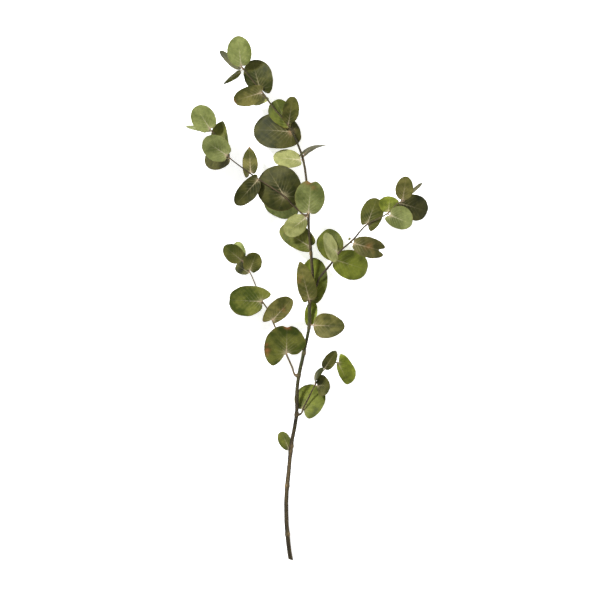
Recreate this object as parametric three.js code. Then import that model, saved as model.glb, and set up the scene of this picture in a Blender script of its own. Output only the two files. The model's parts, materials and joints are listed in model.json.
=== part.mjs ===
// A cut eucalyptus branch lying on a surface: one main stem, four side twigs and their leaves.
// Millimetres, +Z up. +Y runs from the cut end to the growing tip and +X is to the right of it.
// The origin is on the surface, under the middle of the branch.

import * as THREE from 'three';

// Driving dimensions
const TOUCH_GAP = 0.3; // left between pieces that grow from each other
const STEM_SIDES = 8;
const STEM_STEP = 11; // length of one straight stretch of a stem
const LEAF_THICKNESS = 0.7;
const RIM_POINTS = 24;
const RING_POINTS = 12; // halfway between a leaf's middle and its rim
const TIP_WIDTH = 0.22; // of a notch or a point at a leaf's tip, in radians round its rim
const CUT_SLANT = 2.4; // how much further the cut end reaches on one side

// How the dried leaves and the bark look
const FINISHES = {
  leaf_dark: { color: 0x505a2d, roughness: 0.62 },
  leaf_green: { color: 0x66713a, roughness: 0.6 },
  leaf_olive: { color: 0x777148, roughness: 0.62 },
  leaf_grey_green: { color: 0x8a9462, roughness: 0.66 },
  leaf_yellow_green: { color: 0x8a9a4a, roughness: 0.6 },
  leaf_pale: { color: 0xb4ba80, roughness: 0.7 },
  stem_bark: { color: 0x5c4436, roughness: 0.75 },
  twig_bark: { color: 0x6a5140, roughness: 0.7 },
};

const UP = new THREE.Vector3(0, 0, 1);

function material(finish) {
  const { color, roughness } = FINISHES[finish];
  return new THREE.MeshStandardMaterial({ color, roughness, metalness: 0 });
}

// A shoot is a smooth centre line with a radius at each end and a slanted cut at its foot.
class Shoot {
  constructor({ name, finish, line, radius, slant = 0 }) {
    this.name = name;
    this.finish = finish;
    this.radius = radius;
    this.slant = slant;
    this.curve = new THREE.CatmullRomCurve3(line.map((p) => new THREE.Vector3(...p)), false, 'centripetal');
    this.length = this.curve.getLength();
    this.steps = Math.ceil(this.length / STEM_STEP);
  }

  // The centre line is climbed by its height up the branch, which always grows.
  stationAt(height) {
    let low = 0;
    let high = 1;
    for (let i = 0; i < 30; i++) {
      const middle = (low + high) / 2;
      if (this.curve.getPointAt(middle).y < height) low = middle;
      else high = middle;
    }
    return (low + high) / 2;
  }

  radiusAt(station) {
    const [base, tip] = this.radius;
    return base + (tip - base) * station ** 1.15;
  }

  frameAt(station) {
    const along = this.curve.getTangentAt(station).normalize();
    const up = UP.clone().addScaledVector(along, -UP.dot(along)).normalize();
    const left = new THREE.Vector3().crossVectors(up, along);
    return { centre: this.curve.getPointAt(station), along, up, left };
  }

  // A point just clear of the bark. clock is measured round the stem: 0 is left, 90 is on top.
  surfacePoint(height, clock) {
    const station = this.stationAt(height);
    const { centre, up, left } = this.frameAt(station);
    const angle = THREE.MathUtils.degToRad(clock);
    const out = left.multiplyScalar(Math.cos(angle)).addScaledVector(up, Math.sin(angle));
    return centre.addScaledVector(out, this.radiusAt(station) + TOUCH_GAP);
  }

  // Rings of points along the centre line, joined into a closed tube with flat ends.
  geometry() {
    const points = [];
    for (let i = 0; i <= this.steps; i++) {
      const station = i / this.steps;
      const { centre, along, up, left } = this.frameAt(station);
      for (let k = 0; k < STEM_SIDES; k++) {
        const angle = ((k + 0.5) / STEM_SIDES) * 2 * Math.PI;
        const point = centre.clone();
        point.addScaledVector(left, this.radiusAt(station) * Math.cos(angle));
        point.addScaledVector(up, this.radiusAt(station) * Math.sin(angle));
        if (i === 0) point.addScaledVector(along, (this.slant / 2) * Math.cos(angle));
        points.push(point);
      }
    }
    const faces = [];
    for (let i = 0; i < this.steps; i++) {
      for (let k = 0; k < STEM_SIDES; k++) {
        const a = i * STEM_SIDES + k;
        const b = i * STEM_SIDES + ((k + 1) % STEM_SIDES);
        faces.push([a, b, b + STEM_SIDES], [a, b + STEM_SIDES, a + STEM_SIDES]);
      }
    }
    const last = this.steps * STEM_SIDES;
    for (let k = 1; k < STEM_SIDES - 1; k++) {
      faces.push([0, k + 1, k], [last, last + k, last + k + 1]);
    }
    return closedGeometry(points, faces);
  }
}

function closedGeometry(points, faces) {
  const geometry = new THREE.BufferGeometry().setFromPoints(points);
  geometry.setIndex(faces.flat());
  geometry.computeVertexNormals();
  return geometry;
}

// Where a point of the blade lies in the leaf's own flat plane: x from the petiole to the tip, y to the left.
// turn goes round the rim from the tip, and reach goes from the blade's middle to its rim. The rim is an
// ellipse that starts behind the petiole by the length of its lobes, with a narrow bay cut in to the petiole.
function bladePoint(leaf, turn, reach) {
  const { length, width, lobes, lean, bayWidth, notch, point, egg, sway } = leaf;
  const fromTip = turn > Math.PI ? 2 * Math.PI - turn : turn;
  const fromBay = Math.PI - fromTip;
  const middle = (length - lobes) / 2;
  const bay = lobes * Math.exp(-((fromBay / bayWidth) ** 2));
  const tip = (point - notch) * Math.exp(-((fromTip / TIP_WIDTH) ** 2));
  const tilt = lobes * lean * Math.sin(turn) * 1.6 * ((1 - Math.cos(turn)) / 2) ** 3;
  const x = middle + ((length + lobes) / 2) * Math.cos(turn) + bay + tip - tilt;
  const narrow = 1 - egg * Math.cos(turn) - (point / length) * Math.exp(-((fromTip / 0.8) ** 2));
  const y = (width / 2) * Math.sin(turn) * narrow + sway * Math.abs(Math.sin(turn));
  return [middle + (x - middle) * reach, y * reach];
}

// How high the blade stands over its plane: cupped across, folded on the midrib, arched along, twisted.
function bladeHeight(leaf, x, y) {
  const across = (2 * y) / leaf.width;
  const along = x / leaf.length;
  const cup = leaf.cup * across ** 2;
  const fold = leaf.fold * Math.abs(across);
  const arch = leaf.arch * 4 * along * (1 - along);
  const twist = leaf.twist * across * (along - 0.5);
  return cup + fold + arch + twist;
}

// A leaf is one thin closed solid, thickest in the middle, whose petiole end is a short spur.
function leafGeometry(leaf, base, tip) {
  const along = tip.clone().sub(base).normalize();
  const level = UP.clone().addScaledVector(along, -UP.dot(along)).normalize();
  const left = new THREE.Vector3().crossVectors(level, along);
  const roll = THREE.MathUtils.degToRad(leaf.roll);
  const normal = level.clone().multiplyScalar(Math.cos(roll)).addScaledVector(left, Math.sin(roll));
  const across = left.multiplyScalar(Math.cos(roll)).addScaledVector(level, -Math.sin(roll));
  const place = (x, y, above) => base.clone()
    .addScaledVector(along, x)
    .addScaledVector(across, y)
    .addScaledVector(normal, bladeHeight(leaf, x, y) + leaf.lift + above);

  const rim = [];
  for (let i = 0; i < RIM_POINTS; i++) {
    const turn = (i / RIM_POINTS) * 2 * Math.PI;
    const [x, y] = i === RIM_POINTS / 2 ? [0, 0] : bladePoint(leaf, turn, 1);
    rim.push(i === RIM_POINTS / 2 ? base.clone() : place(x + leaf.petiole, y, 0));
  }
  const faces = [];
  const points = [...rim];
  for (const side of [1, -1]) {
    const above = (side * LEAF_THICKNESS) / 2;
    const ring = points.length;
    for (let i = 0; i < RING_POINTS; i++) {
      const [x, y] = bladePoint(leaf, (i / RING_POINTS) * 2 * Math.PI, 0.55);
      points.push(place(x + leaf.petiole, y, above));
    }
    const middle = points.length;
    const [x, y] = bladePoint(leaf, 0, 0);
    points.push(place(x + leaf.petiole, y, above));
    const add = (a, b, c) => faces.push(side > 0 ? [a, b, c] : [a, c, b]);
    for (let i = 0; i < RING_POINTS; i++) {
      const here = ring + i;
      const next = ring + ((i + 1) % RING_POINTS);
      const outer = 2 * i;
      add(middle, here, next);
      add(here, outer, outer + 1);
      add(here, outer + 1, next);
      add(next, outer + 1, (outer + 2) % RIM_POINTS);
    }
  }
  return closedGeometry(points, faces);
}

// A plain leaf, which each leaf below changes where it differs. Lengths are in millimetres.
const PLAIN_LEAF = {
  lobes: 0, // how far the blade reaches back past its petiole
  lean: 0, // how much more the left lobe reaches back than the right one, as a share
  sway: 0, // how much wider the left half is than the right
  bayWidth: 0.28, // of the bay between the two lobes, in radians round the rim
  petiole: 1.2,
  lift: 0, // how far the blade stands over the foot of its petiole
  notch: 0,
  point: 0,
  egg: 0, // how much wider the half near the petiole is
  roll: 0, // degrees, positive where the left edge dips
  cup: 2,
  fold: 0,
  arch: 1.5,
  twist: 0,
};

const SHOOTS = [
  {
    name: 'main_stem',
    finish: 'stem_bark',
    radius: [2.75, 0.85],
    slant: CUT_SLANT,
    line: [
      [0, 1, 2.7], [-3, 24, 4], [-5, 50, 5.5], [-5, 78, 7.2], [-2, 110, 9.3], [1, 140, 11.4],
      [7, 175, 13.8], [8, 210, 16.2], [11, 228, 17.5], [17, 256, 19.5], [22.5, 284, 21.5],
      [23, 314, 23.5], [26.5, 334, 25], [25, 366, 27], [22, 400, 28.5], [21, 430, 29],
      [19, 459, 29], [14, 487, 28.5], [-3, 525, 27.5], [-20, 545, 27.5], [-34, 564, 28], [-59, 595, 30],
    ],
    leaves: [
      {
        at: 132, clock: -60, tip: [-11.5, 155.5, 3], width: 15.5, finish: 'leaf_green',
        cup: 1, roll: -12, sway: 1,
      },
      { at: 281, clock: -80, tip: [27, 313.5, 11], width: 15, finish: 'leaf_yellow_green' },
      {
        at: 284.5, clock: 160, tip: [65, 282.5, 36], width: 29.5, finish: 'leaf_olive',
        petiole: 3, egg: 0.2,
      },
      {
        at: 313, clock: 95, tip: [11.5, 359, 47], width: 22.5, finish: 'leaf_olive',
        lobes: 3, petiole: 2, roll: 10, egg: 0.22, sway: -1.5, point: 1.5,
      },
      {
        at: 313, clock: -90, tip: [28.5, 365.5, 12], width: 34, finish: 'leaf_yellow_green',
        lobes: 7, arch: 3, sway: -2,
      },
      {
        at: 378, clock: -90, tip: [-13, 401, 17], width: 29, finish: 'leaf_green',
        lobes: 6, sway: -2.5, arch: 3, lift: -1.6,
      },
      {
        at: 415, clock: 50, tip: [-6.5, 394, 38], width: 25, finish: 'leaf_pale',
        roll: 12, cup: -1, petiole: 2.5,
      },
      {
        at: 418, clock: 90, tip: [25, 458.5, 45], width: 36, finish: 'leaf_grey_green',
        lobes: 3, notch: 4, arch: -1,
      },
      {
        at: 483, clock: -20, tip: [-21, 486.5, 19], width: 22, finish: 'leaf_pale',
        lobes: 3, lean: 0.7, cup: 1, petiole: 2, lift: -0.3,
      },
      {
        at: 487, clock: 175, tip: [46, 499.5, 44], width: 27, finish: 'leaf_olive',
        lobes: 9, roll: -80, cup: 0, arch: -3.5, lift: -1.5, petiole: 2.4,
      },
      {
        at: 520.5, clock: -90, tip: [-18.5, 555, 19], width: 25, finish: 'leaf_yellow_green',
        egg: -0.35, sway: 2, cup: 0,
      },
      {
        at: 517, clock: -90, tip: [-45, 520, 18], width: 45, finish: 'leaf_dark',
        lobes: 12, lean: 0.3, roll: -13, cup: 0, arch: 3, lift: -3.2, bayWidth: 0.13,
      },
      { at: 525, clock: 95, tip: [2.5, 558, 46], width: 20.5, finish: 'leaf_dark', roll: -12 },
      {
        at: 567, clock: -90, tip: [-46.5, 603.5, 18], width: 34, finish: 'leaf_dark',
        lobes: 8, arch: 3, lift: -0.4, sway: -1.9, lean: -0.6,
      },
      {
        at: 560, clock: -60, tip: [-50.5, 554.5, 18], width: 14, finish: 'leaf_pale',
        lobes: 4.5, arch: 1.5, lift: -2.6, lean: 0.8, sway: 2,
      },
      {
        at: 564, clock: 80, tip: [-68, 553, 40], width: 23.5, finish: 'leaf_olive',
        lobes: 5, lean: -0.7, arch: -1,
      },
      {
        at: 593, clock: -60, tip: [-85.5, 612.5, 2], width: 22, finish: 'leaf_dark',
        roll: 62, cup: 0, arch: 0, petiole: 3,
      },
      {
        at: 592, clock: 30, tip: [-80.5, 573.5, 35], width: 15, finish: 'leaf_green',
        roll: 58, fold: 2.6, cup: 0, arch: 0, petiole: 3, egg: 0.3, sway: -3,
      },
      {
        at: 594.5, clock: 60, tip: [-63.5, 630.5, 45], width: 29.5, finish: 'leaf_grey_green',
        lobes: 1,
      },
    ],
  },
  {
    name: 'upper_left_twig',
    finish: 'twig_bark',
    radius: [1.05, 0.55],
    line: [
      [18, 416, 29], [5, 426, 31], [-7, 438.5, 33], [-22, 449, 34], [-38.6, 459.6, 34.5],
      [-59, 474, 34], [-75, 487, 33], [-84, 501, 33], [-92, 515, 32.5], [-97, 520, 32.5],
    ],
    leaves: [
      {
        at: 436.5, clock: -90, tip: [-13, 410.5, 5.5], width: 43, finish: 'leaf_grey_green',
        lobes: 5, lift: -4.4, sway: -3, lean: -0.8, arch: 0.5,
      },
      {
        at: 438.5, clock: -90, tip: [-28, 472.5, 24], width: 53, finish: 'leaf_dark',
        lobes: 16.5, cup: 0, arch: 3, lift: -0.6, bayWidth: 0.13,
      },
      {
        at: 459.5, clock: 70, tip: [-65.5, 428.5, 42], width: 23, finish: 'leaf_dark',
        lobes: 5, lean: -0.7, sway: 0, arch: -1,
      },
      {
        at: 466, clock: -90, tip: [-49.5, 497, 22], width: 18.5, finish: 'leaf_olive',
        lobes: 6, lean: 0.6, point: 3, egg: 0.2, cup: 0, arch: 2.5,
      },
      {
        at: 485, clock: -60, tip: [-105, 483.5, 1], width: 26, finish: 'leaf_dark',
        lobes: 3, lift: -1.5,
      },
      {
        at: 487.5, clock: 80, tip: [-104.5, 506.5, 48], width: 30.5, finish: 'leaf_grey_green',
        lobes: 3, arch: -1, lift: 1.2,
      },
      {
        at: 488.5, clock: -100, tip: [-83, 530, 18], width: 26, finish: 'leaf_green',
        roll: 42, fold: 7, sway: 3, cup: 0, arch: 0, lift: -0.9,
      },
      {
        at: 516, clock: -60, tip: [-125.5, 524, 18], width: 19, finish: 'leaf_grey_green',
        roll: -68, cup: 0, arch: 0, petiole: 3, lift: 0.3,
      },
      {
        at: 519, clock: 80, tip: [-114, 546.5, 45], width: 29, finish: 'leaf_grey_green',
        lobes: 3, arch: -1, lift: 1,
      },
    ],
  },
  {
    name: 'right_twig',
    finish: 'twig_bark',
    radius: [1.3, 0.6],
    line: [
      [29.3, 331, 25], [33, 338.5, 26], [48, 357, 29], [57, 370, 31], [66, 379, 33], [74, 385.5, 34.5],
      [91, 404.5, 37], [105, 412, 38], [118, 419, 38.5], [127, 429, 38.5], [138, 434, 38],
    ],
    leaves: [
      {
        at: 371, clock: -90, tip: [41, 400, 14], width: 32, finish: 'leaf_yellow_green',
        lobes: 5, arch: 4, lift: -2.6, sway: 3.5, lean: 1, egg: 0.1,
      },
      {
        at: 370.5, clock: 60, tip: [37.8, 383.8, 56], width: 38, finish: 'leaf_pale',
        lobes: 3, cup: 0, petiole: 2.8, arch: -1, lift: 1.2, roll: -47,
      },
      {
        at: 363, clock: -100, tip: [94, 350.5, 3.6], width: 36, finish: 'leaf_yellow_green',
        lobes: 3, arch: 3, petiole: 2, lift: -2.5,
      },
      {
        at: 385.5, clock: 30, tip: [69.2, 388.6, 38.5], width: 4, finish: 'leaf_pale',
        cup: 0, arch: 0, petiole: 1.6, lift: 0.3,
      },
      {
        at: 384, clock: -170, tip: [114.5, 372, 38], width: 25, finish: 'leaf_olive',
        lobes: 2, notch: 9, petiole: 2.5,
      },
      {
        at: 405, clock: -90, tip: [104, 437, 28], width: 27, finish: 'leaf_green',
        lobes: 8, lean: -0.35, sway: -1, arch: 3, cup: 0, lift: -0.6,
      },
      {
        at: 418.5, clock: -70, tip: [119.5, 439, 29], width: 25, finish: 'leaf_yellow_green',
        lobes: 2,
      },
      {
        at: 418, clock: -175, tip: [145.5, 405, 42], width: 28, finish: 'leaf_grey_green',
        lobes: 5, lean: -0.5, petiole: 2.5, arch: -1, lift: 1, sway: 2,
      },
      {
        at: 431, clock: -90, tip: [168.5, 420.5, 11], width: 31, finish: 'leaf_dark',
        lobes: 0, lift: -5.2, petiole: 4,
      },
      {
        at: 432.5, clock: 80, tip: [138.5, 462.5, 52], width: 21.5, finish: 'leaf_olive',
        petiole: 2, lift: 1,
      },
      {
        at: 432.5, clock: 20, tip: [158, 455, 38], width: 15, finish: 'leaf_olive',
        roll: -72, cup: 0, arch: 0, petiole: 9,
      },
    ],
  },
  {
    name: 'lower_left_twig',
    finish: 'twig_bark',
    radius: [1.15, 0.55],
    line: [
      [6.4, 223.6, 16.8], [-5, 249, 18], [-19, 283, 20], [-21.5, 289, 20.5], [-27.6, 303, 21.5],
      [-34, 313, 22], [-42.7, 333.6, 22.5], [-49, 348, 22.5], [-58, 362, 22],
    ],
    leaves: [
      {
        at: 249, clock: 90, tip: [-4, 285, 34], width: 50, finish: 'leaf_green',
        lobes: 11, lean: 1, notch: 4, arch: -2, sway: 2, egg: 0.14,
      },
      {
        at: 290, clock: 90, tip: [2, 316, 36], width: 24, finish: 'leaf_olive',
        lobes: 9, lean: 0.7, sway: 3, cup: 1, arch: -2, lift: 0.4,
      },
      { at: 310.5, clock: -60, tip: [-74, 311.5, 4], width: 32, finish: 'leaf_dark', lobes: 2 },
      {
        at: 312.5, clock: 90, tip: [-75, 314.5, 30], width: 37, finish: 'leaf_green',
        lobes: 9, lean: -0.9, notch: 1.5, arch: -2, lift: 1,
      },
      { at: 347, clock: -60, tip: [-66, 357, 3], width: 15, finish: 'leaf_dark', lift: -0.3 },
      {
        at: 349, clock: 100, tip: [-41, 371, 35], width: 22.5, finish: 'leaf_dark',
        lobes: 3, arch: -1,
      },
      { at: 360, clock: -60, tip: [-65, 385, 11], width: 14, finish: 'leaf_grey_green' },
      { at: 361, clock: 70, tip: [-79.5, 379, 34], width: 21.5, finish: 'leaf_dark' },
    ],
  },
  {
    name: 'lower_right_twig',
    finish: 'twig_bark',
    radius: [1.0, 0.5],
    line: [
      [11, 176.5, 14.2], [15, 183.5, 16], [22, 197, 17.5], [29.5, 212, 18.5], [40, 230, 18.5],
      [50, 238, 17.5], [59, 239.5, 16.5],
    ],
    leaves: [
      {
        at: 182, clock: -90, tip: [30, 212.5, 4], width: 40, finish: 'leaf_yellow_green',
        lobes: 7.5, lean: -0.8, roll: 24, cup: 0, lift: -1.4, sway: -2.5,
      },
      {
        at: 211.5, clock: -170, tip: [46.5, 212.5, 28], width: 26, finish: 'leaf_dark',
        lobes: 1, petiole: 2.5, lift: -0.2,
      },
      {
        at: 213, clock: 40, tip: [38.6, 232.5, 30], width: 16, finish: 'leaf_dark',
        roll: 70, cup: 0, arch: 3, petiole: 2,
      },
      { at: 230, clock: 80, tip: [54.5, 253, 35], width: 15, finish: 'leaf_dark', fold: 2, petiole: 2 },
      {
        at: 239.3, clock: -90, tip: [70.5, 211.8, 1.8], width: 20.5, finish: 'leaf_yellow_green',
        lobes: 7, lean: 1, sway: 4.5, arch: 2, lift: -1.6, petiole: 1.5,
      },
    ],
  },
];

const branch = new THREE.Group();

function addPiece(name, geometry, finish) {
  const mesh = new THREE.Mesh(geometry, material(finish));
  mesh.name = name;
  branch.add(mesh);
}

for (const description of SHOOTS) {
  const shoot = new Shoot(description);
  addPiece(shoot.name, shoot.geometry(), shoot.finish);
  const prefix = shoot.name.replace(/_(stem|twig)$/, '');
  description.leaves.forEach((described, index) => {
    const base = shoot.surfacePoint(described.at, described.clock);
    const tip = new THREE.Vector3(...described.tip);
    const leaf = { ...PLAIN_LEAF, ...described };
    leaf.length = tip.distanceTo(base) - leaf.petiole;
    const number = String(index + 1).padStart(2, '0');
    addPiece(`${prefix}_leaf_${number}`, leafGeometry(leaf, base, tip), leaf.finish);
  });
}

// The lowest point of the branch is put on the surface, and its middle over the origin.
const extent = new THREE.Box3().setFromObject(branch);
const middle = extent.getCenter(new THREE.Vector3());
branch.position.set(-middle.x, -middle.y, -extent.min.z);

export default branch;
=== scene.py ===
import json
import bpy
import numpy as np
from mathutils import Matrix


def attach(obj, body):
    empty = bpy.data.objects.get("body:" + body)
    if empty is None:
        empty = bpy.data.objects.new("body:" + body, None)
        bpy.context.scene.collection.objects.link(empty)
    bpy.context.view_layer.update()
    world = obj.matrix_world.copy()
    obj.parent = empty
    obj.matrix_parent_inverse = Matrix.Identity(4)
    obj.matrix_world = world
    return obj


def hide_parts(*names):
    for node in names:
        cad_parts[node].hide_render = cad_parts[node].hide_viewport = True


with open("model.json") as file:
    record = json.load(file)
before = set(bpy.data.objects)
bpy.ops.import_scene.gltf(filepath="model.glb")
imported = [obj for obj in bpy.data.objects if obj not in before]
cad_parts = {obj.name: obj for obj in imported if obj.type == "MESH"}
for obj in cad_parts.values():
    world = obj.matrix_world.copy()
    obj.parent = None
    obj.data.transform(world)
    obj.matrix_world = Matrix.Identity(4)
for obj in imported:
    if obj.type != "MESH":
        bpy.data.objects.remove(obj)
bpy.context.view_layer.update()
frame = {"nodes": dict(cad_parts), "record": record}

# ---------------------------------------------------------------------------------------------
# Stems. The main stem and its four side twigs are dry woody shoots with thin smooth bark. Each
# has a small swelling wherever a leaf or a twig grows from it, and grows out of the wood of the
# stem that carries it. The foot of the main stem is cut across at a slant and shows pale wood.
# ---------------------------------------------------------------------------------------------

MILLIMETRE = 0.001
LEAF_THICKNESS = 0.7 * MILLIMETRE  # of a leaf's frame node
TOUCH_GAP = 0.3 * MILLIMETRE  # between frame nodes that grow from each other
RIM_POINTS = 24  # round a leaf's frame node
FOOT_POINT = 12  # the rim point where the petiole is, with the tip as point 0


def corner_points(node):
    """Every corner of a frame node once, and its triangles as rows of three corner numbers."""
    mesh = frame["nodes"][node].data
    places = np.empty(len(mesh.vertices) * 3)
    mesh.vertices.foreach_get("co", places)
    corners = np.empty(len(mesh.loops), dtype=int)
    mesh.loops.foreach_get("vertex_index", corners)
    points, number = np.unique(np.round(places.reshape(-1, 3), 6), axis=0, return_inverse=True)
    return points, number.ravel()[corners].reshape(-1, 3)


def smooth_through(knots, stops, at):
    """A cubic curve through stops, one at each knot, read at the places at. Its slope at a stop is
    the slope between that stop's two neighbours, so it never turns sharply."""
    slope = np.gradient(stops, knots, axis=0)
    i = np.clip(np.searchsorted(knots, at) - 1, 0, len(knots) - 2)
    gap = (knots[i + 1] - knots[i])[:, None]
    u = (at - knots[i])[:, None] / gap
    start = (1 + 2 * u) * (1 - u) ** 2 * stops[i] + u * (1 - u) ** 2 * gap * slope[i]
    return start + u * u * (3 - 2 * u) * stops[i + 1] + u * u * (u - 1) * gap * slope[i + 1]


def ripple(seed, *coordinates):
    """A smooth uneven field between about -1 and 1: the mean of seven sine waves that run in chance
    directions through the coordinates, which are already scaled to the size of the unevenness."""
    chance = np.random.default_rng(seed)
    total = 0
    for _ in range(7):
        pull = chance.normal(0, 1.3, len(coordinates))
        total = total + np.sin(sum(p * c for p, c in zip(pull, coordinates)) + chance.uniform(0, 6.28))
    return total / 3.2


def linear(colour):
    """A colour written as six hexadecimal digits, as the shader's linear red, green and blue."""
    value = np.array([int(colour[i:i + 2], 16) / 255 for i in (0, 2, 4)])
    return np.where(value <= 0.04045, value / 12.92, ((value + 0.055) / 1.055) ** 2.4)


def blend(one, other, share):
    """Each row goes from colour one to colour other by that row's share, held between 0 and 1."""
    share = np.clip(share, 0, 1)[..., None]
    return one * (1 - share) + other * share


def ringed_skin(first, rings, last, colours, across, along):
    """A closed skin: the point first, rings of points one after another, and the point last. Seen
    along their order the rings turn to the left, so the faces look outwards. colours has a row for
    first, one for every ring point and one for last; across and along are the ring points' UV."""
    count, sides = rings.shape[:2]
    points = np.vstack([first[None], rings.reshape(-1, 3), last[None]])
    row, column = np.meshgrid(np.arange(count - 1), np.arange(sides), indexing="ij")
    beside = (column + 1) % sides

    def number(r, c):
        """The number of the point at ring r and column c."""
        return 1 + r * sides + c

    quads = np.stack([
        number(row, column), number(row + 1, column), number(row + 1, beside), number(row, beside),
    ], -1)
    ring = np.arange(sides)
    end = len(points) - 1
    foot = np.stack([np.zeros(sides, int), number(0, ring), number(0, (ring + 1) % sides)], -1)
    head = np.stack([np.full(sides, end), number(count - 1, (ring + 1) % sides), number(count - 1, ring)], -1)
    place = np.stack([across, along], -1)
    # Where across counts turns from 0, the far side of the seam is at 1.
    seam_shift = [1.0, 0.0] if across[0, -1] > 0.9 else [0.0, 0.0]
    wide = np.concatenate([place, place[:, :1] + seam_shift], axis=1)
    quad_uv = np.stack([wide[:-1, :-1], wide[1:, :-1], wide[1:, 1:], wide[:-1, 1:]], 2).reshape(-1, 2)
    foot_uv = np.stack([(wide[0, :-1] + wide[0, 1:]) / 2, wide[0, :-1], wide[0, 1:]], 1).reshape(-1, 2)
    head_uv = np.stack([(wide[-1, :-1] + wide[-1, 1:]) / 2, wide[-1, 1:], wide[-1, :-1]], 1).reshape(-1, 2)
    return {
        "points": points,
        "quads": quads.reshape(-1, 4),
        "ends": np.vstack([foot, head]),
        "uv": np.vstack([quad_uv, foot_uv, head_uv]),
        "colours": colours,
    }


def grown_piece(name, node, skins, finish):
    """One object made of closed skins, which stands for the frame's node."""
    faces, shift = [], 0
    for skin in skins:
        faces += (skin["quads"] + shift).tolist() + (skin["ends"] + shift).tolist()
        shift += len(skin["points"])
    mesh = bpy.data.meshes.new(name)
    points = np.vstack([skin["points"] for skin in skins])
    points[:, 2] = np.maximum(points[:, 2], 0.05 * MILLIMETRE)
    mesh.from_pydata(points.tolist(), [], faces)
    mesh.polygons.foreach_set("use_smooth", np.ones(len(mesh.polygons), dtype=bool))
    grain = mesh.uv_layers.new(name="grain")
    grain.uv.foreach_set("vector", np.vstack([skin["uv"] for skin in skins]).ravel())
    colours = np.vstack([skin["colours"] for skin in skins])
    tint = mesh.color_attributes.new("tint", "FLOAT_COLOR", "POINT")
    tint.data.foreach_set("color", np.hstack([colours, np.ones((len(colours), 1))]).ravel())
    mesh.materials.append(finish)
    mesh.update()
    piece = bpy.data.objects.new(name, mesh)
    bpy.context.scene.collection.objects.link(piece)
    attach(piece, "root")
    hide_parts(node)


def ring_line(node):
    """Centre and radius of each ring of a stem's frame node, from its foot up. Corners less than
    7.5 mm apart belong to one ring, because the rings stand 11 mm apart."""
    points, _ = corner_points(node)
    near = np.linalg.norm(points[:, None] - points[None], axis=2) < 7.5 * MILLIMETRE
    rings = [points[np.argmax(near, axis=1) == label] for label in np.unique(np.argmax(near, axis=1))]
    rings.sort(key=lambda ring: ring[:, 1].mean())
    centres = np.array([ring.mean(axis=0) for ring in rings])
    radii = np.array([np.linalg.norm(ring - ring.mean(axis=0), axis=1).min() for ring in rings])
    return centres, radii


def shoot_path(node, foot=None):
    """A stem's centre line and radius every 0.5 mm, smoothed through the rings of its node. It
    starts at foot, inside the stem that carries it, where there is one."""
    centres, radii = ring_line(node)
    if foot is not None:
        centres, radii = np.vstack([foot, centres]), np.append(radii[0], radii)
    knots = np.append(0, np.cumsum(np.linalg.norm(np.diff(centres, axis=0), axis=1)))
    at = np.arange(0, knots[-1], 0.5 * MILLIMETRE)
    return smooth_through(knots, centres, at), np.interp(at, knots, radii), at


# Each shoot and how the names of its leaves begin.
SHOOT_LEAVES = {
    "main_stem": "main_leaf_",
    "upper_left_twig": "upper_left_leaf_",
    "right_twig": "right_leaf_",
    "lower_left_twig": "lower_left_leaf_",
    "lower_right_twig": "lower_right_leaf_",
}
paths = {"main_stem": shoot_path("main_stem")}
for twig in list(SHOOT_LEAVES)[1:]:
    start = ring_line(twig)[0][0]
    stem_line = paths["main_stem"][0]
    paths[twig] = shoot_path(twig, stem_line[np.argmin(np.linalg.norm(stem_line - start, axis=1))])

# What the leaves need to know of the shoot that carries them: where each petiole leaves its bark.
petiole_feet = {shoot: [] for shoot in SHOOT_LEAVES}


def leaf_plane(node, shoot):
    """What a leaf's frame node says of the leaf: its normal, its rim in order, and where the foot of
    its petiole is on it. Its two faces stand 0.7 mm apart, so the pairs of corners at that distance
    give the normal. The foot is the rim corner just clear of the shoot's bark, where the rim turns
    most sharply."""
    points, triangles = corner_points(node)
    meets = np.bincount(triangles.ravel(), minlength=len(points))
    apart = points[:, None] - points[None]
    one, other = np.nonzero(np.abs(np.linalg.norm(apart, axis=2) - LEAF_THICKNESS) < 4e-6)
    partner = apart[one, other]
    partner = partner[partner[:, 2] > 0] / LEAF_THICKNESS
    agreeing = partner[np.argmax((partner @ partner.T > 0.9995).sum(axis=1))]
    normal = partner[partner @ agreeing > 0.9995].mean(axis=0)
    normal /= np.linalg.norm(normal)
    lift = LEAF_THICKNESS * normal
    paired = np.linalg.norm(apart - lift, axis=2).min(axis=1) < 4e-6
    paired |= np.linalg.norm(apart + lift, axis=2).min(axis=1) < 4e-6
    centre = points[meets == 12].mean(axis=0)

    rim = points[~paired]
    beside = np.cross(normal, rim[0] - centre)
    beside /= np.linalg.norm(beside)
    flat = np.stack([(rim - centre) @ np.cross(beside, normal), (rim - centre) @ beside], axis=1)
    order = np.argsort(np.arctan2(flat[:, 1], flat[:, 0]))
    rim, flat = rim[order], flat[order]
    onward = np.roll(flat, -1, axis=0) - flat
    back = np.roll(flat, 1, axis=0) - flat
    bend = np.degrees(np.arctan2(back[:, 1], back[:, 0]) - np.arctan2(onward[:, 1], onward[:, 0])) % 360
    line, radii, _ = paths[shoot]
    gaps = np.linalg.norm(rim[:, None] - line[None], axis=2)
    clear = np.abs(gaps.min(axis=1) - radii[gaps.argmin(axis=1)] - TOUCH_GAP)
    likely = (20 + np.abs(bend - 165)) * (0.5 * MILLIMETRE - clear)
    sharp = np.where(meets[~paired][order] == 4, likely, -1)
    foot = np.argmax(sharp)
    return normal, centre, np.roll(rim, FOOT_POINT - foot, axis=0), points[paired]


def foot_of(node, shoot):
    """Where a leaf's petiole leaves the bark."""
    return leaf_plane(node, shoot)[2][FOOT_POINT]


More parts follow.
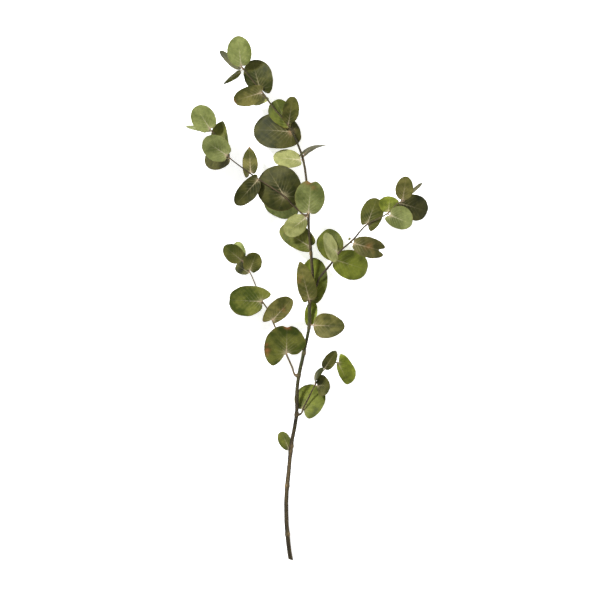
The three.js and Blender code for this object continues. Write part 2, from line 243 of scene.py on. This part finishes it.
def bark_skin(shoot, sides, wood, scars, cut_slant=0):
    """A stem's skin. Its radius is the path's, with a swelling round the stem at every node, a bump
    under each petiole, the scars of lost leaves, long shallow ridges and a fine grain. A twig flares
    where it leaves the main stem and closes in a bud at its end. A main stem has its slanted cut.
    wood holds the colours: bark, dark bark, pink bark, young green, scar."""
    line, radii, at = paths[shoot]
    line, radii, at = line[::2], radii[::2], at[::2]
    ahead = np.gradient(line, at, axis=0)
    ahead /= np.linalg.norm(ahead, axis=1)[:, None]
    up = np.array([0, 0, 1.0]) - ahead[:, 2:] * ahead
    up /= np.linalg.norm(up, axis=1)[:, None]
    left = np.cross(up, ahead)
    clock = -np.arange(sides) / sides * 2 * np.pi
    around, height = np.meshgrid(clock, at)
    seed = len(shoot)

    swell, bump = np.zeros_like(height), np.zeros_like(height)
    for foot, reach in [(f, 1.0) for f in petiole_feet[shoot]] + [(f, 2.0) for f in scars]:
        nearest = np.argmin(np.linalg.norm(line - foot, axis=1))
        side = np.arctan2((foot - line[nearest]) @ up[nearest], (foot - line[nearest]) @ left[nearest])
        close = np.exp(-((height - at[nearest]) / (1.7 * MILLIMETRE * reach ** 0.5)) ** 2)
        turn = (around - side + np.pi) % (2 * np.pi) - np.pi
        swell = np.maximum(swell, close)
        bump = np.maximum(bump, close * np.exp(-(turn / 0.6) ** 2) * reach)
    grain = ripple(seed, 2.2 * np.cos(around), 2.2 * np.sin(around), height / 0.011)
    fine = ripple(seed + 1, 7 * np.cos(around), 7 * np.sin(around), height / 0.0022)
    radius = radii[:, None] * (1 + 0.17 * swell + 0.055 * grain + 0.03 * fine) + 0.28 * MILLIMETRE * bump
    if shoot != "main_stem":
        radius *= 1 + 0.7 * np.exp(-((height - 0.003) / 0.003) ** 2)
        radius *= 1 + 0.55 * np.exp(-((height - at[-1] + 0.0026) / 0.0011) ** 2)
    ending = np.clip((height - at[-1] + 0.0028) / 0.0028, 0, 1)
    radius *= np.sqrt(1 - 0.97 * ending ** 2)

    axis = line[:, None] + ahead[:, None] * (
        cut_slant / 2 * np.cos(around) * np.clip(1 - height / 0.006, 0, 1)
    )[..., None]
    out = np.cos(around)[..., None] * left[:, None] + np.sin(around)[..., None] * up[:, None]
    rings = axis + radius[..., None] * out

    bark, dark, pink, green, scar = (linear(c) for c in wood)
    share = height / at[-1]
    colours = blend(bark, dark, 0.5 + 0.55 * grain + 0.35 * fine)
    pinkness = 0.75 * ripple(seed + 2, 1.5 * np.cos(around), 1.5 * np.sin(around), height / 0.03)
    colours = blend(colours, pink, pinkness + 0.35 * share)
    greenness = 0.9 * ripple(seed + 3, 1.2 * np.cos(around), np.sin(around), height / 0.045)
    colours = blend(colours, green, greenness - 0.1)
    colours = blend(colours, scar, 0.55 * bump + 0.25 * swell)
    if shoot != "main_stem":
        colours = blend(colours, linear("c9b3a0"), 0.75 * ending)
    first, first_colour = rings[0].mean(axis=0), colours[0].mean(axis=0)

    if cut_slant:
        inward = np.array([0.06, 0.22, 0.4, 0.58, 0.75, 0.88, 0.955])[:, None, None]
        face = first + inward * (rings[0] - first)
        pale = linear("d9c79a") * np.ones((7, sides, 1))
        growth_rings = np.array([0.9, 0.15, 0.4, 0.1, 0.45, 0.2, 0.8])[:, None]
        pale = blend(pale, linear("a88b62"), growth_rings + 0 * around[:7])
        rays = ripple(5, 6 * np.cos(around[:7]), 6 * np.sin(around[:7]), inward[..., 0] * 4)
        pale = blend(pale, linear("8a6e4c"), 0.5 * rays)
        rings, colours = np.concatenate([face, rings]), np.concatenate([pale, colours])
        around, height = np.concatenate([around[:7], around]), np.concatenate([height[:7] * 0, height])
        first_colour = linear("7a5f42")
    last = rings[-1].mean(axis=0) + ahead[-1] * 0.0002
    tints = np.vstack([first_colour[None], colours.reshape(-1, 3), colours[-1].mean(axis=0)[None]])
    return ringed_skin(first, rings, last, tints, -around / (2 * np.pi), height * 20)


def bark_finish(name, streak, roughness):
    """Dry bark: the grown colours, darkened in long thin streaks, flecked with pale corky spots, and
    raised a little along the streaks. The pattern runs along the stem on its own UV map, where one
    turn round the stem is 1 across and 50 mm of stem is 1 along."""
    finish = bpy.data.materials.new(name)
    finish.use_nodes = True
    nodes, links = finish.node_tree.nodes, finish.node_tree.links
    shader = nodes["Principled BSDF"]
    shader.inputs["Specular IOR Level"].default_value = 0.22
    shader.inputs["Sheen Weight"].default_value = 0.015
    grown = nodes.new("ShaderNodeAttribute")
    grown.attribute_name = "tint"
    place = nodes.new("ShaderNodeUVMap")
    place.uv_map = "grain"
    stretch = nodes.new("ShaderNodeMapping")
    stretch.inputs["Scale"].default_value = (9, 14, 1)
    links.new(place.outputs["UV"], stretch.inputs["Vector"])
    streaks = nodes.new("ShaderNodeTexNoise")
    streaks.inputs["Scale"].default_value = 1.6
    streaks.inputs["Detail"].default_value = 6
    streaks.inputs["Roughness"].default_value = 0.62
    links.new(stretch.outputs["Vector"], streaks.inputs["Vector"])
    body = nodes.new("ShaderNodeTexCoord")
    cork = nodes.new("ShaderNodeTexVoronoi")
    cork.inputs["Scale"].default_value = 420
    links.new(body.outputs["Object"], cork.inputs["Vector"])
    fleck = nodes.new("ShaderNodeMapRange")
    fleck.inputs["From Min"].default_value = 0.22
    fleck.inputs["From Max"].default_value = 0.1
    fleck.inputs["To Max"].default_value = 0.5
    links.new(cork.outputs["Distance"], fleck.inputs["Value"])
    shade = nodes.new("ShaderNodeMapRange")
    shade.inputs["From Min"].default_value = 0.32
    shade.inputs["From Max"].default_value = 0.62
    links.new(streaks.outputs["Fac"], shade.inputs["Value"])
    dark = nodes.new("ShaderNodeMix")
    dark.data_type = "RGBA"
    dark.blend_type = "MULTIPLY"
    dark.inputs["Factor"].default_value = 1
    lighter = nodes.new("ShaderNodeMix")
    lighter.data_type = "RGBA"
    links.new(shade.outputs["Result"], lighter.inputs["Factor"])
    lighter.inputs["A"].default_value = (*linear(streak), 1)
    lighter.inputs["B"].default_value = (1, 1, 1, 1)
    links.new(grown.outputs["Color"], dark.inputs["A"])
    links.new(lighter.outputs["Result"], dark.inputs["B"])
    spotted = nodes.new("ShaderNodeMix")
    spotted.data_type = "RGBA"
    spotted.inputs["B"].default_value = (*linear("857652"), 1)
    links.new(fleck.outputs["Result"], spotted.inputs["Factor"])
    links.new(dark.outputs["Result"], spotted.inputs["A"])
    links.new(spotted.outputs["Result"], shader.inputs["Base Color"])
    dull = nodes.new("ShaderNodeMapRange")
    dull.inputs["To Min"].default_value = roughness - 0.12
    dull.inputs["To Max"].default_value = roughness + 0.14
    links.new(streaks.outputs["Fac"], dull.inputs["Value"])
    links.new(dull.outputs["Result"], shader.inputs["Roughness"])
    raised = nodes.new("ShaderNodeBump")
    raised.inputs["Strength"].default_value = 0.7
    raised.inputs["Distance"].default_value = 0.00022
    links.new(streaks.outputs["Fac"], raised.inputs["Height"])
    links.new(raised.outputs["Normal"], shader.inputs["Normal"])
    return finish


for shoot, prefix in SHOOT_LEAVES.items():
    for node in sorted(frame["nodes"]):
        if node.startswith(prefix):
            petiole_feet[shoot].append(foot_of(node, shoot))

main_line = paths["main_stem"][0]
twig_feet = [paths[twig][0][8] for twig in list(SHOOT_LEAVES)[1:]]
# Scars of lost leaves: share of the stem's length, then millimetres to the side and up.
lost_leaves = [
    main_line[int(share * len(main_line))] + np.array([side, 0, lift]) * MILLIMETRE
    for share, side, lift in (
        (0.05, 2, 2), (0.145, -2, 2), (0.222, 2.4, 0.8), (0.405, 2.2, 1), (0.6, -1.5, 1.5),
    )
]
CUT_SLANT = 2.4 * MILLIMETRE  # how much further the cut end reaches on one side
old_wood = ("403822", "18140b", "62543a", "3b4421", "877452")
main_skin = bark_skin("main_stem", 32, old_wood, twig_feet + lost_leaves, CUT_SLANT)
old_bark = bark_finish("old_bark", "8a7d60", 0.7)
grown_piece("main_stem_bark", "main_stem", [main_skin], old_bark)
young_bark = bark_finish("young_bark", "a0947a", 0.62)
for twig, wood in {
    "upper_left_twig": ("463c27", "241d10", "6c5a42", "42482a", "8d785a"),
    "right_twig": ("4c4029", "292113", "725e45", "464d2b", "937d5e"),
    "lower_left_twig": ("6d6148", "40361f", "857057", "5c6438", "a28e70"),
    "lower_right_twig": ("4f4430", "2a2316", "765f4a", "485030", "957f60"),
}.items():
    grown_piece(twig + "_bark", twig, [bark_skin(twig, 20, wood, [])], young_bark)

# ---------------------------------------------------------------------------------------------
# Leaves. Each is a round, leathery, dried blade on a short petiole, grown in pairs. A pale midrib
# runs from the petiole and stands out underneath, side veins fan from its foot, the thin margin
# is a little wavy, and a waxy bloom makes the surface satin to matt.
# ---------------------------------------------------------------------------------------------

# What each leaf colour is made of: face, deeper green, underside, vein, edge.
TONES = {
    "leaf_dark": ("4b4b21", "292e0b", "5f6640", "9c9276", "4f4623"),
    "leaf_green": ("575a25", "323b0f", "707748", "a99d84", "5c5028"),
    "leaf_olive": ("615e31", "3c3e18", "777650", "ae9f86", "64522c"),
    "leaf_grey_green": ("6f7645", "4e562a", "858c60", "b8af94", "6c643a"),
    "leaf_yellow_green": ("5f6722", "3d450f", "7f874c", "aca47e", "68602a"),
    "leaf_pale": ("8b8e5a", "6a6e3b", "a1a577", "c8c0a4", "807248"),
}
# Side veins: share of the length where each leaves the midrib, and its angle there in degrees.
SIDE_VEINS = ((0, 128), (0, 98), (0, 74), (0.03, 56), (0.1, 50), (0.2, 47), (0.32, 44), (0.45, 42))
# These lie flat under their stem, and their lobes grow together behind it.
JOINED_LOBES = ("main_leaf_12", "upper_left_leaf_02")
WAVE = 0.5 * MILLIMETRE  # how far a wide leaf's margin waves up and down
HALF_BLADE = 0.17 * MILLIMETRE  # from the middle of a blade's thickness to its face


def blade_and_petiole(node, shoot, tones, light, marks, seed):
    """A leaf's two skins. The blade's outline is smoothed through the rim of its frame node and is
    finely uneven; its height over the leaf's plane is a curved sheet fitted to the node, with a
    wave that grows towards the margin; veins raise it slightly. The petiole is a tapering tube from
    inside the stem, which carries on under the blade as its midrib."""
    normal, centre, rim, faces = leaf_plane(node, shoot)
    foot = rim[FOOT_POINT]
    along = rim[0] - foot
    along = along - (along @ normal) * normal
    along /= np.linalg.norm(along)
    axes = np.stack([along, np.cross(normal, along), normal], axis=1)
    rim, faces, middle = (rim - foot) @ axes, (faces - foot) @ axes, (centre - foot) @ axes
    length, width = rim[:, 0].max(), np.ptp(rim[:, 1])
    on_midrib = np.abs(faces[:, 1]) < 0.02 * MILLIMETRE
    behind = faces[on_midrib & (faces[:, 0] < middle[0] - 0.1 * MILLIMETRE)]
    petiole = (behind[:, 0].mean() - 0.45 * middle[0]) / 0.55

    def sheet(x, y):
        """The height terms of a curved sheet: level, slopes, bends, twist and a fold on the midrib."""
        x, y = (x - middle[0]) / length, y / width
        return np.stack([np.ones_like(x), x, y, x * x, x * y, y * y, np.abs(y), x * y * y], axis=-1)

    known = np.vstack([np.delete(rim, FOOT_POINT, axis=0), faces])
    shape = np.linalg.lstsq(sheet(known[:, 0], known[:, 1]), known[:, 2], rcond=None)[0]

    columns = int(np.clip(width / 0.00032, 48, 132) // 4 * 4)
    stops = rim[:, :2].copy()
    stops[FOOT_POINT] = petiole, 0
    if node in JOINED_LOBES:
        stops[FOOT_POINT] = 1.05 * (stops[FOOT_POINT - 1] + stops[FOOT_POINT + 1]) / 2
    turns = np.arange(-3, RIM_POINTS + 4)
    at = np.arange(columns) * RIM_POINTS / columns
    outline = smooth_through(turns.astype(float), stops[turns % RIM_POINTS], at)
    turn = np.arange(columns) / columns * 2 * np.pi
    uneven = ripple(seed, 5 * np.cos(turn), 5 * np.sin(turn))
    uneven = uneven + 0.7 * ripple(seed + 1, 19 * np.cos(turn), 19 * np.sin(turn))
    away = outline - middle[:2]
    reach = np.linalg.norm(away, axis=1)
    quiet = 1 - np.exp(-((turn - np.pi) / 0.3) ** 2)
    away = away * (1 + 0.16 * MILLIMETRE * uneven * quiet * min(1, width / 0.02) / reach)[:, None]

    rows = int(np.clip(reach.max() / 0.0007, 10, 34))
    steps = np.append(np.linspace(0, 1, rows + 1)[1:-1], [0.985, 0.996, 1])
    steps = np.append(steps, steps[-2::-1])
    top = np.append(np.ones(rows + 2), -np.ones(len(steps) - rows - 2))[:, None]
    share, angle = steps[:, None] + 0 * turn, turn + 0 * steps[:, None]
    x = middle[0] + share * away[:, 0]
    y = share * away[:, 1]

    def veins(x, y):
        """How strongly a vein shows: a midrib that thins towards the tip, and side veins, each a
        curve that leaves the midrib at its own angle and bends forwards, fading with distance."""
        ahead = (x - petiole) / (length - petiole)
        rib = np.exp(-((y / (0.42 * MILLIMETRE * (1.25 - 0.8 * np.clip(ahead, 0, 1)))) ** 2))
        rib = rib * np.clip(1.15 - ahead, 0, 1) * (x > petiole - 0.2 * MILLIMETRE)
        side = 0 * x
        for start, lean in SIDE_VEINS:
            slope = np.radians(lean)
            curve = x - petiole - start * length - np.abs(y) / np.tan(slope) - 0.22 * y * y / width
            off = np.abs(curve) * np.sin(slope) / (0.3 * MILLIMETRE)
            side = np.maximum(side, np.exp(-off ** 2) * np.exp(-np.abs(y) / (0.3 * width)))
        return rib, side

    rib, side = veins(x, y)
    from_foot = np.hypot(x - petiole, y)
    glow = np.exp(-((from_foot / (0.06 * width + 0.9 * MILLIMETRE)) ** 2))
    size = min(1, width / 0.03)
    bend = ripple(seed + 2, 2 * np.cos(angle), 2 * np.sin(angle))
    bend = bend + 0.5 * ripple(seed + 3, 5 * np.cos(angle), 5 * np.sin(angle))
    lie = sheet(x, y) @ shape + WAVE * size * bend * share ** 3 * quiet
    lie = lie + 0.12 * MILLIMETRE * size * ripple(seed + 4, x / 0.005, y / 0.005) * (1 - share ** 8)
    half = HALF_BLADE * np.sqrt(1 - np.minimum(share, 1) ** 14)
    vein_lift = MILLIMETRE * np.where(top > 0, 0.05 * side + 0.02 * rib, -0.08 * side)
    lie = lie + top * half + vein_lift * (1 - share ** 6)
    rings = foot + np.stack([x, y, lie], axis=-1) @ axes.T

    face, deep, under, vein, edge = (linear(c) for c in tones)
    patch = ripple(seed + 5, x / 0.008, y / 0.008)
    cloud = ripple(seed + 6, x / 0.0025, y / 0.0025)
    colours = np.where(top[..., None] > 0, face, under) * np.ones(x.shape + (1,))
    # light scales the leaf's colour; where it is below 1 it is painted shade.
    colours = light * blend(colours, deep, 0.42 + 0.6 * patch + 0.25 * cloud)
    shown = 0.5 * side * np.exp(-from_foot / (0.42 * length))
    shown = shown + 0.8 * rib * np.exp(-from_foot / (0.6 * length))
    colours = blend(colours, vein, shown)
    colours = blend(colours, vein, 0.5 * glow)
    margin = np.clip((share - 0.955) / 0.03, 0, 1)
    dried = 0.4 + 0.35 * ripple(seed + 7, 3 * np.cos(angle), 3 * np.sin(angle))
    colours = blend(colours, edge, margin * dried)
    # Each mark blends towards rust brown; on right_leaf_05 it is partly painted shade.
    rust_and_shade_brown = linear("8a5636")
    for ahead, aside, radius, strength in marks:
        gone = np.hypot(x - petiole - ahead * (length - petiole), y - aside * width / 2)
        gone = gone / (radius * MILLIMETRE)
        colours = blend(colours, rust_and_shade_brown, strength * np.exp(-(gone * (1 + 0.35 * cloud)) ** 2))

    level = sheet(middle[0], 0.0) @ shape
    poles = foot + np.array([
        [middle[0], 0, level + HALF_BLADE],
        [middle[0], 0, level - HALF_BLADE],
    ]) @ axes.T
    tints = np.vstack([colours[0].mean(axis=0)[None], colours.reshape(-1, 3), colours[-1].mean(axis=0)[None]])
    blade = ringed_skin(poles[0], rings, poles[1], tints, y * 10 + 0.45, x * 10 + 0.3)

    line, radii, _ = paths[shoot]
    root = line[np.argmin(np.linalg.norm(line - foot, axis=1))]
    thick = np.clip(width * 0.021, 0.22 * MILLIMETRE, 0.62 * MILLIMETRE)
    runs = petiole + np.array([0, 0.12, 0.35, 0.62]) * (length - petiole)
    under_blade = sheet(runs, 0 * runs) @ shape - np.array([0.05, 0.2, 0.19, 0.15]) * MILLIMETRE
    stalk = np.vstack([root, foot, foot + np.stack([runs, 0 * runs, under_blade], axis=1) @ axes.T])
    knots = np.append(0, np.cumsum(np.linalg.norm(np.diff(stalk, axis=0), axis=1)))
    at = np.linspace(0, knots[-1], 26)
    spine = smooth_through(knots, stalk, at)
    thin = np.interp(at, knots, thick * np.array([1.5, 1.25, 0.85, 0.5, 0.3, 0.1]))
    ahead = np.gradient(spine, at, axis=0)
    ahead /= np.linalg.norm(ahead, axis=1)[:, None]
    over = normal - (ahead @ normal)[:, None] * ahead
    over /= np.linalg.norm(over, axis=1)[:, None]
    beside = np.cross(over, ahead)
    clock = -np.arange(10) / 10 * 2 * np.pi
    tube = spine[:, None] + thin[:, None, None] * (
        np.cos(clock)[:, None] * beside[:, None] + np.sin(clock)[:, None] * over[:, None]
    )
    stalk_tint = blend(linear("a08a76"), vein, np.linspace(0, 1, 26))[:, None] * np.ones((26, 10, 1))
    reddish = 0.5 * ripple(seed + 8, np.cos(clock), np.sin(clock))[None] + 0 * at[:, None]
    stalk_tint = blend(stalk_tint, linear("7c5646"), reddish)
    tints = np.vstack([stalk_tint[0, :1], stalk_tint.reshape(-1, 3), stalk_tint[-1, :1]])
    around = -clock / (2 * np.pi) * 0.1 + 0 * at[:, None]
    upward = at[:, None] * 10 + 0 * clock
    stalk_skin = ringed_skin(tube[0].mean(axis=0), tube, tube[-1].mean(axis=0), tints, around, upward)
    return [blade, stalk_skin]


def leaf_finish(name, bloom, roughness):
    """A dried leaf: the grown colours, mottled softly, with a net of fine paler veins about a
    millimetre apart, a few tiny brown specks, and a waxy bloom. The net follows the blade on its
    own UV map, where 100 mm of leaf is 1; mottling and specks read Object coordinates."""
    finish = bpy.data.materials.new(name)
    finish.use_nodes = True
    nodes, links = finish.node_tree.nodes, finish.node_tree.links
    shader = nodes["Principled BSDF"]
    shader.inputs["Specular IOR Level"].default_value = 0.1
    shader.inputs["Sheen Weight"].default_value = bloom
    shader.inputs["Sheen Roughness"].default_value = 0.55
    grown = nodes.new("ShaderNodeAttribute")
    grown.attribute_name = "tint"
    place = nodes.new("ShaderNodeUVMap")
    place.uv_map = "grain"
    net = nodes.new("ShaderNodeTexVoronoi")
    net.feature = "DISTANCE_TO_EDGE"
    net.inputs["Scale"].default_value = 78
    net.inputs["Randomness"].default_value = 0.9
    links.new(place.outputs["UV"], net.inputs["Vector"])
    thread = nodes.new("ShaderNodeMapRange")
    thread.inputs["From Min"].default_value = 0.13
    thread.inputs["From Max"].default_value = 0.02
    links.new(net.outputs["Distance"], thread.inputs["Value"])
    body = nodes.new("ShaderNodeTexCoord")
    mottle = nodes.new("ShaderNodeTexNoise")
    mottle.inputs["Scale"].default_value = 260
    mottle.inputs["Detail"].default_value = 5
    mottle.inputs["Roughness"].default_value = 0.6
    links.new(body.outputs["Object"], mottle.inputs["Vector"])
    shade = nodes.new("ShaderNodeMapRange")
    shade.inputs["From Min"].default_value = 0.3
    shade.inputs["From Max"].default_value = 0.7
    links.new(mottle.outputs["Fac"], shade.inputs["Value"])
    grey = nodes.new("ShaderNodeMix")
    grey.data_type = "RGBA"
    grey.inputs["A"].default_value = (0.72, 0.74, 0.7, 1)
    grey.inputs["B"].default_value = (1.12, 1.1, 1.06, 1)
    links.new(shade.outputs["Result"], grey.inputs["Factor"])
    mottled = nodes.new("ShaderNodeMix")
    mottled.data_type = "RGBA"
    mottled.blend_type = "MULTIPLY"
    mottled.inputs["Factor"].default_value = 0.75
    links.new(grown.outputs["Color"], mottled.inputs["A"])
    links.new(grey.outputs["Result"], mottled.inputs["B"])
    faint = nodes.new("ShaderNodeMath")
    faint.operation = "MULTIPLY"
    faint.inputs[1].default_value = 0.45
    links.new(thread.outputs["Result"], faint.inputs[0])
    netted = nodes.new("ShaderNodeMix")
    netted.data_type = "RGBA"
    netted.blend_type = "MULTIPLY"
    netted.inputs["B"].default_value = (1.7, 1.6, 1.45, 1)
    links.new(faint.outputs["Value"], netted.inputs["Factor"])
    links.new(mottled.outputs["Result"], netted.inputs["A"])
    spots = nodes.new("ShaderNodeTexVoronoi")
    spots.inputs["Scale"].default_value = 190
    links.new(body.outputs["Object"], spots.inputs["Vector"])
    speck = nodes.new("ShaderNodeMapRange")
    speck.inputs["From Min"].default_value = 0.13
    speck.inputs["From Max"].default_value = 0.05
    speck.inputs["To Max"].default_value = 0.55
    links.new(spots.outputs["Distance"], speck.inputs["Value"])
    specked = nodes.new("ShaderNodeMix")
    specked.data_type = "RGBA"
    specked.inputs["B"].default_value = (*linear("5a4028"), 1)
    links.new(speck.outputs["Result"], specked.inputs["Factor"])
    links.new(netted.outputs["Result"], specked.inputs["A"])
    links.new(specked.outputs["Result"], shader.inputs["Base Color"])
    dull = nodes.new("ShaderNodeMapRange")
    dull.inputs["To Min"].default_value = roughness - 0.1
    dull.inputs["To Max"].default_value = roughness + 0.12
    links.new(mottle.outputs["Fac"], dull.inputs["Value"])
    links.new(dull.outputs["Result"], shader.inputs["Roughness"])
    rise = nodes.new("ShaderNodeMath")
    rise.operation = "MULTIPLY_ADD"
    rise.inputs[1].default_value = 0.5
    links.new(thread.outputs["Result"], rise.inputs[0])
    links.new(mottle.outputs["Fac"], rise.inputs[2])
    raised = nodes.new("ShaderNodeBump")
    raised.inputs["Strength"].default_value = 0.45
    raised.inputs["Distance"].default_value = 0.00012
    links.new(rise.outputs["Value"], raised.inputs["Height"])
    links.new(raised.outputs["Normal"], shader.inputs["Normal"])
    return finish


blade_finishes = {
    slot: leaf_finish("dried_" + slot, bloom, roughness)
    for slot, bloom, roughness in (
        ("leaf_dark", 0.0, 0.5),
        ("leaf_green", 0.0, 0.52),
        ("leaf_olive", 0.005, 0.54),
        ("leaf_grey_green", 0.02, 0.6),
        ("leaf_yellow_green", 0.0, 0.52),
        ("leaf_pale", 0.03, 0.64),
    )
}
slot_of = {row["node"]: row["material_slot"] for row in frame["record"]["subparts"]}
# Rusty places where a leaf has dried or been bruised, and on right_leaf_05 a brown patch that is
# partly rust and partly painted shade: share of its length, share of its half width to the left,
# radius in millimetres, strength.
rust_and_shade_marks = {
    "main_leaf_04": [(0.55, 0.5, 3, 0.3)],
    "main_leaf_08": [(0.96, 0.15, 4, 0.6), (0.8, -0.2, 3, 0.35)],
    "main_leaf_12": [(0.02, 0.0, 2.5, 0.4)],
    "main_leaf_16": [(1.0, 0.0, 3, 0.4)],
    "upper_left_leaf_04": [(0.97, 0.0, 3, 0.45)],
    # Partly painted shade: the darkened brown patch in the middle of this leaf.
    "right_leaf_05": [(0.5, 0.1, 4, 0.3)],
    "lower_left_leaf_01": [(0.97, 0.0, 3.5, 0.8), (0.1, 0.93, 3.5, 0.75), (0.3, 0.97, 2, 0.6)],
    "lower_left_leaf_02": [(0.5, -0.1, 3, 0.25)],
    "lower_left_leaf_03": [(1.0, 0.1, 3, 0.4)],
}
# Some leaves are drawn paler than the others of their colour, and some darker, in three steps; the darker
# step is painted shade on leaves that lie in the shadow of others.
PALEST, LIGHTER, SHADED_DARKER = 1.75, 1.3, 0.7
paleness_and_painted_shade = {
    **dict.fromkeys(["main_leaf_02", "upper_left_leaf_01"], PALEST),
    **dict.fromkeys(["lower_left_leaf_08", "lower_right_leaf_05"], PALEST),
    **dict.fromkeys([f"main_leaf_{number}" for number in ("01", "04", "06", "13", "19")], LIGHTER),
    **dict.fromkeys([f"right_leaf_{number}" for number in ("02", "03", "07")], LIGHTER),
    **dict.fromkeys([f"lower_left_leaf_{number}" for number in ("04", "06", "07")], LIGHTER),
    "upper_left_leaf_09": LIGHTER,
    # Painted shade: these leaves lie in the shadow of other leaves.
    **dict.fromkeys([f"right_leaf_{number}" for number in ("01", "05", "06", "09")], SHADED_DARKER),
    **dict.fromkeys([f"upper_left_leaf_{number}" for number in ("02", "03", "05")], SHADED_DARKER),
    "main_leaf_12": SHADED_DARKER,
}
leaf_seed = 100
for shoot, prefix in SHOOT_LEAVES.items():
    for node in sorted(frame["nodes"]):
        if node.startswith(prefix):
            leaf_seed += 10
            slot = slot_of[node]
            light, marks = paleness_and_painted_shade.get(node, 1), rust_and_shade_marks.get(node, [])
            skins = blade_and_petiole(node, shoot, TONES[slot], light, marks, leaf_seed)
            grown_piece(node + "_blade", node, skins, blade_finishes[slot])

# ---------------------------------------------------------------------------------------------
# The surface it lies on, the studio light and the camera, which looks straight down on it.
# ---------------------------------------------------------------------------------------------

sheet_mesh = bpy.data.meshes.new("white_surface")
sheet_mesh.from_pydata([(-40, -40, 0), (40, -40, 0), (40, 40, 0), (-40, 40, 0)], [], [(0, 1, 2, 3)])
surface = bpy.data.objects.new("white_surface", sheet_mesh)
bpy.context.scene.collection.objects.link(surface)
white = bpy.data.materials.new("white_paper")
white.use_nodes = True
paper = white.node_tree.nodes["Principled BSDF"].inputs
paper["Base Color"].default_value = (0.92, 0.92, 0.92, 1)
paper["Roughness"].default_value = 0.9
paper["Specular IOR Level"].default_value = 0.1
paper["Emission Color"].default_value = (1, 1, 1, 1)
paper["Emission Strength"].default_value = 0.6
sheet_mesh.materials.append(white)

# A white wall all round, which only the camera sees, hides where the surface ends.
WALL_RADIUS, WALL_FOOT, WALL_HEIGHT, WALL_SIDES = 12, -1, 30, 48
turns = np.linspace(0, 2 * np.pi, WALL_SIDES, endpoint=False)
low = np.stack([
    WALL_RADIUS * np.cos(turns), WALL_RADIUS * np.sin(turns), WALL_FOOT + 0 * turns,
], axis=1)
wall_mesh = bpy.data.meshes.new("white_wall")
wall_mesh.from_pydata(
    np.vstack([low, low + np.array([0, 0, WALL_HEIGHT])]).tolist(),
    [],
    [(i, (i + 1) % WALL_SIDES, (i + 1) % WALL_SIDES + WALL_SIDES, i + WALL_SIDES) for i in range(WALL_SIDES)],
)
wall = bpy.data.objects.new("white_wall", wall_mesh)
bpy.context.scene.collection.objects.link(wall)
glow = bpy.data.materials.new("lit_white")
glow.use_nodes = True
lit = glow.node_tree.nodes["Principled BSDF"].inputs
lit["Emission Color"].default_value = (1, 1, 1, 1)
lit["Emission Strength"].default_value = 1.2
wall_mesh.materials.append(glow)
wall.visible_diffuse = wall.visible_glossy = wall.visible_shadow = wall.visible_transmission = False


def soft_light(name, place, aim, size, power):
    """A square area light at a place, turned to shine on aim, that no camera sees."""
    lamp = bpy.data.lights.new(name, "AREA")
    lamp.size = size
    lamp.energy = power
    light = bpy.data.objects.new(name, lamp)
    light.location = place
    away = np.array(place, dtype=float) - np.array(aim, dtype=float)
    away /= np.linalg.norm(away)
    light.rotation_euler = (np.arccos(away[2]), 0, np.arctan2(away[1], away[0]) + np.pi / 2)
    light.visible_camera = False
    bpy.context.scene.collection.objects.link(light)


soft_light("key_light", (-1.5, 1.5, 2.0), (0, 0, 0), 0.45, 112)
soft_light("fill_light", (1.6, -0.6, 2.2), (0, 0, 0), 2.0, 16)

world = bpy.data.worlds.new("studio")
world.use_nodes = True
world.node_tree.nodes["Background"].inputs["Color"].default_value = (1, 1, 1, 1)
world.node_tree.nodes["Background"].inputs["Strength"].default_value = 0.56
bpy.context.scene.world = world
bpy.context.scene.view_settings.view_transform = "Standard"

camera = bpy.data.objects.new("camera", bpy.data.cameras.new("camera"))
camera.data.lens = 250
camera.data.sensor_width = 36
camera.data.clip_end = 200
camera.location = (-0.0086, -0.0010, 5.036)
bpy.context.scene.collection.objects.link(camera)
bpy.context.scene.camera = camera
